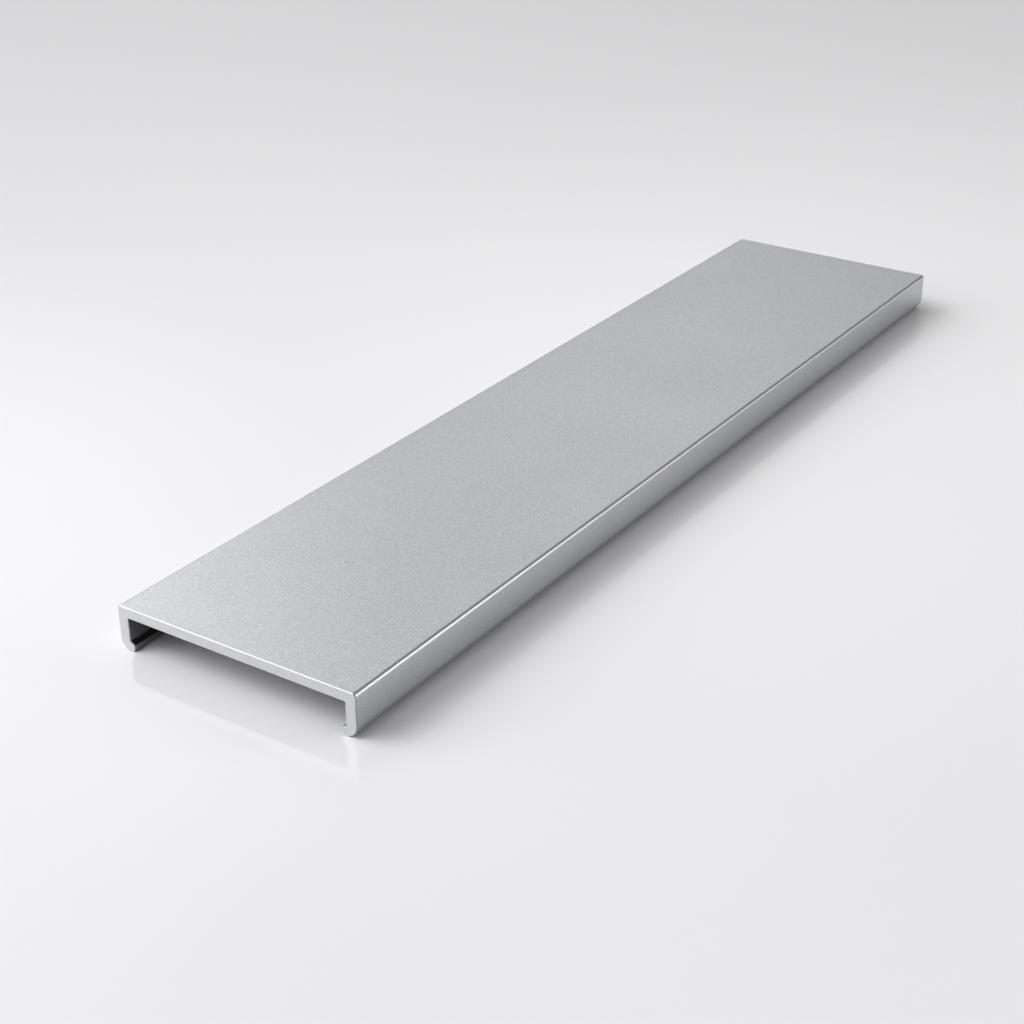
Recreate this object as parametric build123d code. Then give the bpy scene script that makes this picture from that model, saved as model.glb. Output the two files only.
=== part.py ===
from build123d import *
import math
import os

# Clip-on cover profile in extruded aluminium, one cut length of stock.
# Frame: +Z up, +Y along the length, +X across the width.
# The origin is on the floor, under the middle of the profile.

# Driving dimensions, in millimetres and degrees

profile_width = 60.0  # over the outer faces of the two legs
profile_height = 10.0  # from the feet to the show face
stock_length = 270.0  # between the two saw cuts
web_thickness = 2.5  # the flat top wall
leg_thickness = 2.6  # each upright side wall
hook_reach = 1.1  # how far a hook stands in from its leg
hook_nose_height = 1.6  # upright face at the hook's tip, measured from the feet
hook_ramp_angle = 30.0  # rise of the hook's upper face from its nose to the leg
crown_radius = 0.8  # outer top corner of the section
toe_radius = 2.6  # outer bottom corner of each leg
throat_radius = 0.2  # inner corner between the web and a leg
hook_root_radius = 0.3  # inner corner between a hook and its leg
hook_nose_radius = 0.3  # top edge of the hook's nose
hook_heel_radius = 0.6  # bottom edge of the hook's nose
saw_edge_chamfer = 0.15  # broken edge all round each saw cut

# Places worked out from the driving dimensions

half_width = profile_width / 2
leg_inner_x = half_width - leg_thickness
hook_nose_x = leg_inner_x - hook_reach
web_underside_z = profile_height - web_thickness
hook_ramp_top_z = hook_nose_height + hook_reach * math.tan(math.radians(hook_ramp_angle))

# Corners of the right-hand half of the section, from the show face round the leg and
# its hook to the underside of the web, each with the radius that rounds it

CORNERS = [
    ((half_width, profile_height), crown_radius),
    ((half_width, 0), toe_radius),
    ((hook_nose_x, 0), hook_heel_radius),
    ((hook_nose_x, hook_nose_height), hook_nose_radius),
    ((leg_inner_x, hook_ramp_top_z), hook_root_radius),
    ((leg_inner_x, web_underside_z), throat_radius),
]


def section():
    """Rounded section of the profile in the XZ plane, the left half mirroring the right."""
    right = [place for place, radius in CORNERS]
    left = [(-x, z) for x, z in reversed(right)]
    radii = [radius for place, radius in CORNERS]
    with BuildSketch(Plane.XZ) as sketch:
        with BuildLine():
            FilletPolyline(*right, *left, radius=radii + radii[::-1], close=True)
        make_face()
    return sketch.sketch


def cover_profile():
    """The section run along the stock length, with the edges of both saw cuts broken."""
    with BuildPart() as stock:
        extrude(section(), amount=stock_length / 2, both=True)
        cuts = stock.faces().sort_by(Axis.Y)
        chamfer([*cuts[0].edges(), *cuts[-1].edges()], saw_edge_chamfer)
    return stock.part


def main():
    os.makedirs("parts", exist_ok=True)
    export_step(cover_profile(), "parts/cover_profile.step")


main()
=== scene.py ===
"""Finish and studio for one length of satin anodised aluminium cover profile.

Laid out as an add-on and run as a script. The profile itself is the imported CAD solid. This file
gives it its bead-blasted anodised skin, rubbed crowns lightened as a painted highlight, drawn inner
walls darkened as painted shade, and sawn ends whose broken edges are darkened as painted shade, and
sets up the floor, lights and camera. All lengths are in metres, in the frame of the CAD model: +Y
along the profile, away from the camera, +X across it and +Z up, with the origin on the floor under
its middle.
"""

import math

import bmesh
import bpy
from bpy.props import FloatProperty, FloatVectorProperty, PointerProperty
from mathutils import Matrix, Vector


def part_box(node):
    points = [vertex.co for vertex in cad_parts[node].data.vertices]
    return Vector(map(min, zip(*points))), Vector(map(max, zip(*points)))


bl_info = {
    "name": "Aluminium Cover Profile",
    "version": (1, 0, 0),
    "blender": (4, 5, 0),
    "location": "3D View > Sidebar > Profile",
    "description": "Satin anodised finish and a plain studio for a clip-on aluminium cover profile",
    "category": "Object",
}

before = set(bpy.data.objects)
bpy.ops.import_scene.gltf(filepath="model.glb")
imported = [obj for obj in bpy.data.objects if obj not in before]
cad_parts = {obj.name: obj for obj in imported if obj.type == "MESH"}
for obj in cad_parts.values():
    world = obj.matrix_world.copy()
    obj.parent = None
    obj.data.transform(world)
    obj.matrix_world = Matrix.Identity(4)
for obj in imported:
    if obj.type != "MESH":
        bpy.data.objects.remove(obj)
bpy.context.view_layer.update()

COVER_NODE = "cover_profile"
# The origin is under the profile's middle, so its box's highest corner gives its half sizes
COVER_HALF_WIDTH, COVER_HALF_LENGTH, COVER_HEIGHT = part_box(COVER_NODE)[1]
MM = 0.001


# Settings

class CoverFinishSettings(bpy.types.PropertyGroup):
    """Sizes of the section's zones, and the colour and grain of each zone."""

    leg_thickness: FloatProperty(
        name="Leg thickness", description="Upright side wall of the section",
        subtype="DISTANCE", unit="LENGTH", default=2.6 * MM)
    web_thickness: FloatProperty(
        name="Web thickness", description="Flat top wall of the section",
        subtype="DISTANCE", unit="LENGTH", default=2.5 * MM)
    crown_radius: FloatProperty(
        name="Crown radius", description="Outer top corner of the section",
        subtype="DISTANCE", unit="LENGTH", default=0.8 * MM)
    saw_edge_chamfer: FloatProperty(
        name="Saw edge chamfer", description="Broken edge round each saw cut",
        subtype="DISTANCE", unit="LENGTH", default=0.15 * MM)

    skin_colour: FloatVectorProperty(
        name="Anodised skin", description="Colour of the bead-blasted anodised skin",
        subtype="COLOR", size=3, min=0, max=1, default=(0.597, 0.606, 0.621))
    skin_roughness: FloatProperty(
        name="Skin roughness", description="Roughness of the bead-blasted anodised skin",
        subtype="FACTOR", min=0, max=1, default=0.36)
    # Darker than the skin as painted shade for the channel's dark inside; the drawn finish itself is in
    # the roughness and die lines
    wall_colour_and_shade: FloatVectorProperty(
        name="Inner walls",
        description="Colour of the drawn inner walls, which the blasting doesn't reach",
        subtype="COLOR", size=3, min=0, max=1, default=(0.30, 0.305, 0.315))
    wall_roughness: FloatProperty(
        name="Inner wall roughness", description="Roughness of the drawn inner walls",
        subtype="FACTOR", min=0, max=1, default=0.28)
    # Lighter than the skin as a painted highlight along the crowns; the rubbing itself is in the lower
    # roughness
    crown_colour_and_highlight: FloatVectorProperty(
        name="Crowns", description="Colour of the rubbed crowns along the profile",
        subtype="COLOR", size=3, min=0, max=1, default=(0.64, 0.647, 0.66))
    crown_roughness: FloatProperty(
        name="Crown roughness", description="Roughness of the rubbed crowns along the profile",
        subtype="FACTOR", min=0, max=1, default=0.34)
    # Darker than the skin as painted shade that dims the broken edges' highlight
    edge_shade_colour: FloatVectorProperty(
        name="Saw edges", description="Colour of the broken edges round the saw cuts",
        subtype="COLOR", size=3, min=0, max=1, default=(0.34, 0.345, 0.35))
    edge_roughness: FloatProperty(
        name="Saw edge roughness", description="Roughness of the broken edges round the saw cuts",
        subtype="FACTOR", min=0, max=1, default=0.45)
    cut_colour: FloatVectorProperty(
        name="Sawn ends", description="Colour of the sawn ends",
        subtype="COLOR", size=3, min=0, max=1, default=(0.655, 0.66, 0.67))
    cut_roughness: FloatProperty(
        name="Sawn end roughness", description="Roughness of the sawn ends",
        subtype="FACTOR", min=0, max=1, default=0.42)

    bead_size: FloatProperty(
        name="Bead mark size", description="Width of one bead mark in the blasted skin",
        subtype="DISTANCE", unit="LENGTH", default=0.24 * MM)
    bead_depth: FloatProperty(
        name="Bead mark depth", description="Depth of the bead marks in the blasted skin",
        subtype="DISTANCE", unit="LENGTH", default=0.004 * MM)
    bead_contrast: FloatProperty(
        name="Bead mark contrast", description="How far bead marks lighten and darken the skin",
        min=0, max=2, default=1.1)
    saw_spacing: FloatProperty(
        name="Saw mark spacing", description="Distance between the lines that the saw leaves",
        subtype="DISTANCE", unit="LENGTH", default=0.18 * MM)
    saw_depth: FloatProperty(
        name="Saw mark depth", description="Depth of the lines that the saw leaves",
        subtype="DISTANCE", unit="LENGTH", default=0.004 * MM)
    saw_contrast: FloatProperty(
        name="Saw mark contrast", description="How far saw marks lighten and darken the cut",
        subtype="FACTOR", min=0, max=1, default=0.5)
    blade_reach: FloatProperty(
        name="Blade reach",
        description="How far the saw blade's axle is to the left of the profile's middle",
        subtype="DISTANCE", unit="LENGTH", default=150 * MM)
    blade_height: FloatProperty(
        name="Blade height", description="Height of the saw blade's axle above the profile's feet",
        subtype="DISTANCE", unit="LENGTH", default=20 * MM)
    die_spacing: FloatProperty(
        name="Die line spacing", description="Distance between the drawn lines of the inner walls",
        subtype="DISTANCE", unit="LENGTH", default=0.35 * MM)
    die_depth: FloatProperty(
        name="Die line depth", description="Depth of the drawn lines of the inner walls",
        subtype="DISTANCE", unit="LENGTH", default=0.003 * MM)
    die_contrast: FloatProperty(
        name="Die line contrast", description="How far die lines lighten and darken the inner walls",
        subtype="FACTOR", min=0, max=1, default=0.3)
    haze_size: FloatProperty(
        name="Haze size", description="Size of the faint clouds in the blasting",
        subtype="DISTANCE", unit="LENGTH", default=28 * MM)
    haze_amount: FloatProperty(
        name="Haze amount", description="How far the clouds in the blasting change its roughness",
        subtype="FACTOR", min=0, max=1, default=0.05)


class StudioSettings(bpy.types.PropertyGroup):
    """Floor, camera and light levels of the studio."""

    floor_colour: FloatVectorProperty(
        name="Floor", description="Colour of the pale floor",
        subtype="COLOR", size=3, min=0, max=1, default=(0.82, 0.82, 0.835))
    floor_roughness: FloatProperty(
        name="Floor roughness", description="Roughness of the floor's smooth coating",
        subtype="FACTOR", min=0, max=1, default=0.05)
    floor_ior: FloatProperty(
        name="Floor IOR",
        description="Refractive index of the floor's coating, which sets its faint mirroring",
        min=1, max=2, default=1.3)
    floor_size: FloatProperty(
        name="Floor size", description="Side of the square floor",
        subtype="DISTANCE", unit="LENGTH", default=40.0)
    horizon_level: FloatProperty(
        name="Horizon level", description="Brightness of the pale studio wall beyond the floor",
        min=0, default=0.85)
    ceiling_level: FloatProperty(
        name="Ceiling level", description="Brightness of the dim room above the studio wall",
        min=0, default=0.01)
    camera_azimuth: FloatProperty(
        name="Camera azimuth",
        description="Turn of the camera about the profile, from straight on its near end",
        subtype="ANGLE", unit="ROTATION", default=math.radians(33.53))
    camera_elevation: FloatProperty(
        name="Camera elevation", description="Height of the camera's view above the horizon",
        subtype="ANGLE", unit="ROTATION", default=math.radians(27.15))
    camera_place: FloatVectorProperty(
        name="Camera place", description="Where the camera stands",
        subtype="TRANSLATION", unit="LENGTH", size=3, default=(0.2123, -0.3580, 0.1947))
    lens_mm: FloatProperty(
        name="Lens", description="Focal length on a 36 mm wide sensor",
        unit="CAMERA", default=64.95)


# Shader helpers

def fill_inputs(tree, node, values):
    """Link sockets to, and set values on, a node's named or numbered inputs."""
    for socket, value in values.items():
        if isinstance(value, bpy.types.NodeSocket):
            tree.links.new(value, node.inputs[socket])
        else:
            node.inputs[socket].default_value = value


def add_node(tree, kind, values=None, **settings):
    """A new node of a kind, with its settings and inputs."""
    node = tree.nodes.new(kind)
    for name, setting in settings.items():
        setattr(node, name, setting)
    fill_inputs(tree, node, values or {})
    return node


def maths(tree, operation, *values):
    """The result of a Math node on sockets or numbers."""
    return add_node(tree, "ShaderNodeMath", dict(enumerate(values)), operation=operation).outputs[0]


def fade_out(tree, value, low, high):
    """1 where value is under low, falling smoothly to 0 where it is over high."""
    node = add_node(
        tree, "ShaderNodeMapRange",
        {"Value": value, "From Min": low, "From Max": high, "To Min": 1.0, "To Max": 0.0},
        interpolation_type="SMOOTHSTEP")
    return node.outputs["Result"]


def mix_colour(tree, factor, first, second):
    """First where factor is 0, second where it is 1: a Mix node's inputs 6 and 7 are its colours."""
    node = add_node(tree, "ShaderNodeMix", {"Factor": factor, 6: first, 7: second}, data_type="RGBA")
    return node.outputs[2]


def mix_value(tree, factor, first, second):
    """First where factor is 0, second where it is 1: a Mix node's inputs 2 and 3 are its numbers."""
    node = add_node(tree, "ShaderNodeMix", {"Factor": factor, 2: first, 3: second}, data_type="FLOAT")
    return node.outputs[0]


def product(tree, first, second):
    """First times second, as sockets or numbers."""
    return maths(tree, "MULTIPLY", first, second)


def noise(tree, vector, scale, detail, roughness=0.5):
    """A smooth noise about zero."""
    node = add_node(
        tree, "ShaderNodeTexNoise",
        {"Vector": vector, "Scale": scale, "Detail": detail, "Roughness": roughness})
    return maths(tree, "SUBTRACT", node.outputs["Fac"], 0.5)


def per_length(tree, length):
    """The noise scale at which one mark is about as wide as length."""
    return maths(tree, "DIVIDE", 1.0, length)


def new_group(name, inputs, outputs):
    """A node group with a Position and named float inputs, its input sockets and its output node."""
    tree = bpy.data.node_groups.new(name, "ShaderNodeTree")
    tree.interface.new_socket("Position", in_out="INPUT", socket_type="NodeSocketVector")
    for socket_name in inputs:
        tree.interface.new_socket(socket_name, in_out="INPUT", socket_type="NodeSocketFloat")
    for socket_name in outputs:
        tree.interface.new_socket(socket_name, in_out="OUTPUT", socket_type="NodeSocketFloat")
    return tree, tree.nodes.new("NodeGroupInput").outputs, tree.nodes.new("NodeGroupOutput")


def use_group(tree, group, values):
    """The outputs of a node group placed in a tree."""
    node = tree.nodes.new("ShaderNodeGroup")
    node.node_tree = group
    fill_inputs(tree, node, values)
    return node.outputs


def rgba(colour):
    """A colour with full alpha."""
    return (*colour, 1.0)


# Surface effects of the profile

# How far outside the inner walls' faces their drawn finish and painted shade start and end their fade
WALL_FADE = (0.02 * MM, 0.2 * MM)
# Shares of the crown radius, in from each face, between which the rubbed line, lightened as a painted
# highlight, fades to skin
CROWN_FADE = (0.45, 0.95)
# How far in from the end face the sawn finish starts and ends its fade
CUT_FADE = (0.01 * MM, 0.03 * MM)
# How far past the broken edge its finish, darkened as painted shade, runs out
EDGE_RUN_OUT = 0.1 * MM
# How fast the blade's marks change along an arc, against across it
ARC_WANDER = 0.15
# How fast a die line changes along the profile, against across it
DIE_SQUEEZE = 0.01
# How far the bead marks still show on rubbed metal
RUBBED_CONTRAST = 0.05


def section_zones_group():
    """Masks of the parts of the section: inner walls, crowns, broken saw edges and sawn ends."""
    tree, given, result = new_group(
        "section_zones",
        ["Half Width", "Height", "Half Length", "Leg", "Web", "Crown Radius", "Edge Width"],
        ["Inner Wall", "Crown", "Broken Edge", "Sawn End"])
    place = add_node(tree, "ShaderNodeSeparateXYZ", {"Vector": given["Position"]})
    across = maths(tree, "ABSOLUTE", place.outputs["X"])
    along = maths(tree, "ABSOLUTE", place.outputs["Y"])
    in_from_side = maths(tree, "SUBTRACT", given["Half Width"], across)
    down_from_top = maths(tree, "SUBTRACT", given["Height"], place.outputs["Z"])
    in_from_end = maths(tree, "SUBTRACT", given["Half Length"], along)

    to_leg_face = maths(tree, "SUBTRACT", given["Leg"], in_from_side)
    to_web_face = maths(tree, "SUBTRACT", given["Web"], down_from_top)
    inner_wall = product(
        tree, fade_out(tree, to_leg_face, *WALL_FADE), fade_out(tree, to_web_face, *WALL_FADE))

    arc = [product(tree, given["Crown Radius"], share) for share in CROWN_FADE]
    crown = product(tree, fade_out(tree, in_from_side, *arc), fade_out(tree, down_from_top, *arc))

    sawn_end = fade_out(tree, in_from_end, *CUT_FADE)
    edge_end = maths(tree, "ADD", given["Edge Width"], EDGE_RUN_OUT)
    edge_zone = fade_out(tree, in_from_end, given["Edge Width"], edge_end)
    broken_edge = maths(tree, "SUBTRACT", edge_zone, sawn_end)

    fill_inputs(tree, result, {
        "Inner Wall": inner_wall, "Crown": crown, "Broken Edge": broken_edge, "Sawn End": sawn_end})
    return tree


def bead_marks_group():
    """Round marks that bead blasting leaves, as a tone about zero."""
    tree, given, result = new_group("bead_marks", ["Mark Size"], ["Tone"])
    marks = noise(tree, given["Position"], per_length(tree, given["Mark Size"]), detail=1.5, roughness=0.6)
    fill_inputs(tree, result, {"Tone": marks})
    return tree


def saw_marks_group():
    """Shallow arcs that a saw blade leaves round its axle, as a tone about zero."""
    tree, given, result = new_group("saw_marks", ["Spacing", "Blade Reach", "Blade Height"], ["Tone"])
    place = add_node(tree, "ShaderNodeSeparateXYZ", {"Vector": given["Position"]})
    across = maths(tree, "ADD", place.outputs["X"], given["Blade Reach"])
    up = maths(tree, "SUBTRACT", place.outputs["Z"], given["Blade Height"])
    from_axle = add_node(tree, "ShaderNodeCombineXYZ", {"X": across, "Y": up})
    radius = add_node(tree, "ShaderNodeVectorMath", {0: from_axle.outputs[0]}, operation="LENGTH")
    wander = product(tree, place.outputs["Z"], ARC_WANDER)
    arcs = add_node(tree, "ShaderNodeCombineXYZ", {"X": radius.outputs["Value"], "Y": wander})
    marks = noise(tree, arcs.outputs[0], per_length(tree, given["Spacing"]), detail=3.0, roughness=0.65)
    fill_inputs(tree, result, {"Tone": marks})
    return tree


def die_lines_group():
    """Fine lines that the die leaves along the length, as a tone about zero."""
    tree, given, result = new_group("die_lines", ["Spacing"], ["Tone"])
    squeezed = add_node(
        tree, "ShaderNodeVectorMath", {0: given["Position"], 1: (1.0, DIE_SQUEEZE, 1.0)},
        operation="MULTIPLY")
    lines = noise(tree, squeezed.outputs[0], per_length(tree, given["Spacing"]), detail=3.0, roughness=0.7)
    fill_inputs(tree, result, {"Tone": lines})
    return tree


def anodised_material(settings):
    """Blasted and anodised skin, with rubbed crowns lightened as a painted highlight, drawn inner walls
    darkened as painted shade, and sawn ends with broken edges darkened as painted shade.
    """
    material = bpy.data.materials.new("satin_anodised_aluminium")
    material.use_nodes = True
    tree = material.node_tree
    tree.nodes.clear()
    place = tree.nodes.new("ShaderNodeTexCoord").outputs["Object"]
    zones = use_group(tree, section_zones_group(), {
        "Position": place,
        "Half Width": COVER_HALF_WIDTH, "Height": COVER_HEIGHT, "Half Length": COVER_HALF_LENGTH,
        "Leg": settings.leg_thickness, "Web": settings.web_thickness,
        "Crown Radius": settings.crown_radius, "Edge Width": settings.saw_edge_chamfer})
    beads = use_group(tree, bead_marks_group(), {"Position": place, "Mark Size": settings.bead_size})
    saw = use_group(tree, saw_marks_group(), {
        "Position": place, "Spacing": settings.saw_spacing,
        "Blade Reach": settings.blade_reach, "Blade Height": settings.blade_height})
    die = use_group(tree, die_lines_group(), {"Position": place, "Spacing": settings.die_spacing})
    haze = noise(tree, place, 1 / settings.haze_size, detail=3.0)

    colour = rgba(settings.skin_colour)
    # The haze runs from -0.5 to 0.5, so it is doubled to reach its amount
    roughness = maths(tree, "MULTIPLY_ADD", haze, settings.haze_amount * 2, settings.skin_roughness)
    tone = product(tree, beads["Tone"], settings.bead_contrast)
    height = product(tree, beads["Tone"], settings.bead_depth)
    for mask, zone_colour, zone_roughness, marks, contrast, depth in (
        # Inner walls: the darker colour is painted shade for the channel's dark inside, the roughness and
        # die lines are the drawn finish
        (zones["Inner Wall"], settings.wall_colour_and_shade, settings.wall_roughness,
         die["Tone"], settings.die_contrast, settings.die_depth),
        # Crowns: the lighter colour is a painted highlight, the lower roughness is the rubbed metal
        (zones["Crown"], settings.crown_colour_and_highlight, settings.crown_roughness,
         beads["Tone"], RUBBED_CONTRAST, 0.0),
        # Broken saw edges: the darker colour is painted shade that dims their highlight
        (zones["Broken Edge"], settings.edge_shade_colour, settings.edge_roughness,
         beads["Tone"], RUBBED_CONTRAST, 0.0),
        (zones["Sawn End"], settings.cut_colour, settings.cut_roughness,
         saw["Tone"], settings.saw_contrast, settings.saw_depth),
    ):
        colour = mix_colour(tree, mask, colour, rgba(zone_colour))
        roughness = mix_value(tree, mask, roughness, zone_roughness)
        tone = mix_value(tree, mask, tone, product(tree, marks, contrast))
        height = mix_value(tree, mask, height, product(tree, marks, depth))

    toned = add_node(
        tree, "ShaderNodeVectorMath", {0: colour, "Scale": maths(tree, "ADD", tone, 1.0)},
        operation="SCALE")
    bump = add_node(tree, "ShaderNodeBump", {"Height": height, "Distance": 1.0})
    bsdf = add_node(
        tree, "ShaderNodeBsdfPrincipled",
        {"Base Color": toned.outputs[0], "Metallic": 1.0, "Roughness": roughness,
         "Normal": bump.outputs["Normal"]})
    add_node(tree, "ShaderNodeOutputMaterial", {"Surface": bsdf.outputs[0]})
    return material


# Studio

def floor_material(settings):
    """Pale sheet with a thin, smooth coating that mirrors faintly."""
    material = bpy.data.materials.new("studio_floor")
    material.use_nodes = True
    bsdf = material.node_tree.nodes["Principled BSDF"]
    bsdf.inputs["Base Color"].default_value = rgba(settings.floor_colour)
    bsdf.inputs["Roughness"].default_value = settings.floor_roughness
    bsdf.inputs["IOR"].default_value = settings.floor_ior
    return material


def lay_floor(settings):
    """A square floor sheet under the profile's feet."""
    mesh = bpy.data.meshes.new("studio_floor")
    sheet = bmesh.new()
    bmesh.ops.create_grid(sheet, x_segments=1, y_segments=1, size=settings.floor_size / 2)
    sheet.to_mesh(mesh)
    sheet.free()
    floor = bpy.data.objects.new("studio_floor", mesh)
    bpy.context.scene.collection.objects.link(floor)
    mesh.materials.append(floor_material(settings))


def direction(azimuth, elevation):
    """Unit vector towards azimuth, from +Y towards +X, and elevation above the floor, in degrees."""
    turn, rise = math.radians(azimuth), math.radians(elevation)
    return Vector((math.sin(turn) * math.cos(rise), math.cos(turn) * math.cos(rise), math.sin(rise)))


# Centre of a softbox's face in its own coordinates, and how far from there its light starts and
# ends its fade
SOFTBOX_CENTRE = (0.5, 0.5, 0)
SOFTBOX_FADE = (0.1, 0.5)


def hang_softbox(name, azimuth, elevation, distance, width, height, level):
    """A soft light that faces the profile's middle, brightest at its centre and fading to its rim.

    A level of 1 is that of a white surface, and holds at the centre.
    """
    light = bpy.data.lights.new(name, "AREA")
    light.shape = "RECTANGLE"
    light.size, light.size_y = width, height
    light.energy = level * math.pi * width * height
    light.use_nodes = True
    tree = light.node_tree
    on_face = tree.nodes.new("ShaderNodeNewGeometry").outputs["Parametric"]
    off_centre = add_node(
        tree, "ShaderNodeVectorMath", {0: on_face, 1: SOFTBOX_CENTRE}, operation="DISTANCE")
    fading = fade_out(tree, off_centre.outputs["Value"], *SOFTBOX_FADE)
    fill_inputs(tree, tree.nodes["Emission"], {"Strength": fading})
    lamp = bpy.data.objects.new(name, light)
    towards = direction(azimuth, elevation)
    lamp.location = towards * distance
    lamp.rotation_euler = towards.to_track_quat("Z", "Y").to_euler()
    lamp.visible_camera = False
    bpy.context.scene.collection.objects.link(lamp)


# Softboxes by name, with their place in degrees and metres, their size in metres and their level
SOFTBOXES = {
    "key_softbox": dict(azimuth=-120, elevation=38, distance=2.2, width=2.8, height=2.0, level=2.7),
    "low_softbox": dict(azimuth=-125, elevation=12, distance=2.5, width=3.0, height=1.0, level=3.6),
    "upper_softbox": dict(azimuth=-80, elevation=56, distance=0.9, width=0.75, height=0.6, level=0.85),
    "left_softbox": dict(azimuth=-65, elevation=32, distance=1.4, width=1.2, height=1.0, level=1.45),
    "front_softbox": dict(azimuth=-160, elevation=60, distance=1.4, width=1.3, height=1.0, level=1.4),
    "far_left_softbox": dict(azimuth=-40, elevation=30, distance=2.5, width=2.5, height=1.6, level=0.7),
    "back_left_softbox": dict(azimuth=-20, elevation=25, distance=2.5, width=2.1, height=1.25, level=0.6),
    "edge_strip": dict(azimuth=50, elevation=17, distance=2.0, width=0.6, height=1.6, level=5.2),
}

# Broad light off the studio's white walls: the level falls with the angle from the glow's middle,
# the faster the higher its sharpness
WALL_GLOWS = (
    dict(azimuth=-120, elevation=35, sharpness=8, level=2.2),
    dict(azimuth=-140, elevation=45, sharpness=4, level=1.0),
    dict(azimuth=0, elevation=45, sharpness=4, level=0.3),
    dict(azimuth=125, elevation=12, sharpness=4, level=0.35),
)

# Elevations in degrees between which the pale wall gives way to the ceiling
WALL_TOP = 4
CEILING_EDGE = 10


def add_glow(tree, outlook, world_level, azimuth, elevation, sharpness, level):
    """The world's level with one more glow on it."""
    towards = add_node(
        tree, "ShaderNodeVectorMath", {0: outlook, 1: direction(azimuth, elevation)},
        operation="DOT_PRODUCT")
    facing = maths(tree, "MAXIMUM", towards.outputs["Value"], 0.0)
    return maths(tree, "MULTIPLY_ADD", maths(tree, "POWER", facing, sharpness), level, world_level)


def light_world(settings):
    """Pale wall round the horizon under a dim ceiling, with the broad glows of the lit walls."""
    world = bpy.data.worlds.new("studio_world")
    world.use_nodes = True
    tree = world.node_tree
    outlook = tree.nodes.new("ShaderNodeTexCoord").outputs["Generated"]
    rise = add_node(tree, "ShaderNodeSeparateXYZ", {"Vector": outlook}).outputs["Z"]
    horizon = fade_out(
        tree, rise, math.sin(math.radians(WALL_TOP)), math.sin(math.radians(CEILING_EDGE)))
    wall_over_ceiling = settings.horizon_level - settings.ceiling_level
    level = maths(tree, "MULTIPLY_ADD", horizon, wall_over_ceiling, settings.ceiling_level)
    for glow in WALL_GLOWS:
        level = add_glow(tree, outlook, level, **glow)
    fill_inputs(tree, tree.nodes["Background"], {"Color": (1, 1, 1, 1), "Strength": level})
    bpy.context.scene.world = world


# The camera's sensor, in millimetres, and the nearest and farthest that it sees, in metres
SENSOR_WIDTH_MM = 36.0
CLIP_NEAR, CLIP_FAR = 0.01, 50.0


def place_camera(settings):
    """The camera, at the photograph's viewing angle."""
    lens = bpy.data.cameras.new("photo_camera")
    lens.sensor_width = SENSOR_WIDTH_MM
    lens.lens = settings.lens_mm
    lens.clip_start, lens.clip_end = CLIP_NEAR, CLIP_FAR
    camera = bpy.data.objects.new("photo_camera", lens)
    azimuth, elevation = math.degrees(settings.camera_azimuth), math.degrees(settings.camera_elevation)
    # The near end faces -Y, half a turn from where direction() starts
    back = direction(180 - azimuth, elevation)
    turn = back.to_track_quat("Z", "Y").to_matrix().to_4x4()
    camera.matrix_world = Matrix.Translation(Vector(settings.camera_place)) @ turn
    bpy.context.scene.collection.objects.link(camera)
    bpy.context.scene.camera = camera


# Operators and panel

class PROFILE_OT_finish_cover(bpy.types.Operator):
    """Give the cover profile its anodised skin, rubbed crowns with a painted highlight, drawn inner walls
    with painted shade, and sawn ends with edges darkened as painted shade
    """

    bl_idname = "profile.finish_cover"
    bl_label = "Finish cover profile"

    def execute(self, context):
        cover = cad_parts[COVER_NODE]
        cover.material_slots[0].material = anodised_material(context.scene.cover_finish)
        return {"FINISHED"}


class PROFILE_OT_set_studio(bpy.types.Operator):
    """Lay the floor, hang the lights and place the camera"""

    bl_idname = "profile.set_studio"
    bl_label = "Set up studio"

    def execute(self, context):
        settings = context.scene.cover_studio
        lay_floor(settings)
        light_world(settings)
        for name, placing in SOFTBOXES.items():
            hang_softbox(name, **placing)
        place_camera(settings)
        context.scene.view_settings.view_transform = "Standard"
        return {"FINISHED"}


class PROFILE_PT_sidebar(bpy.types.Panel):
    """Settings and steps of the cover profile's scene"""

    bl_label = "Cover profile"
    bl_space_type = "VIEW_3D"
    bl_region_type = "UI"
    bl_category = "Profile"

    def draw(self, context):
        for settings, operator in (
            (context.scene.cover_finish, PROFILE_OT_finish_cover),
            (context.scene.cover_studio, PROFILE_OT_set_studio),
        ):
            for name in settings.__annotations__:
                self.layout.prop(settings, name)
            self.layout.operator(operator.bl_idname)


CLASSES = (
    CoverFinishSettings,
    StudioSettings,
    PROFILE_OT_finish_cover,
    PROFILE_OT_set_studio,
    PROFILE_PT_sidebar,
)


def register():
    for item in CLASSES:
        bpy.utils.register_class(item)
    bpy.types.Scene.cover_finish = PointerProperty(type=CoverFinishSettings)
    bpy.types.Scene.cover_studio = PointerProperty(type=StudioSettings)


def unregister():
    del bpy.types.Scene.cover_studio
    del bpy.types.Scene.cover_finish
    for item in reversed(CLASSES):
        bpy.utils.unregister_class(item)


def main():
    """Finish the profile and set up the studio."""
    register()
    bpy.ops.profile.finish_cover()
    bpy.ops.profile.set_studio()


if __name__ == "__main__":
    main()
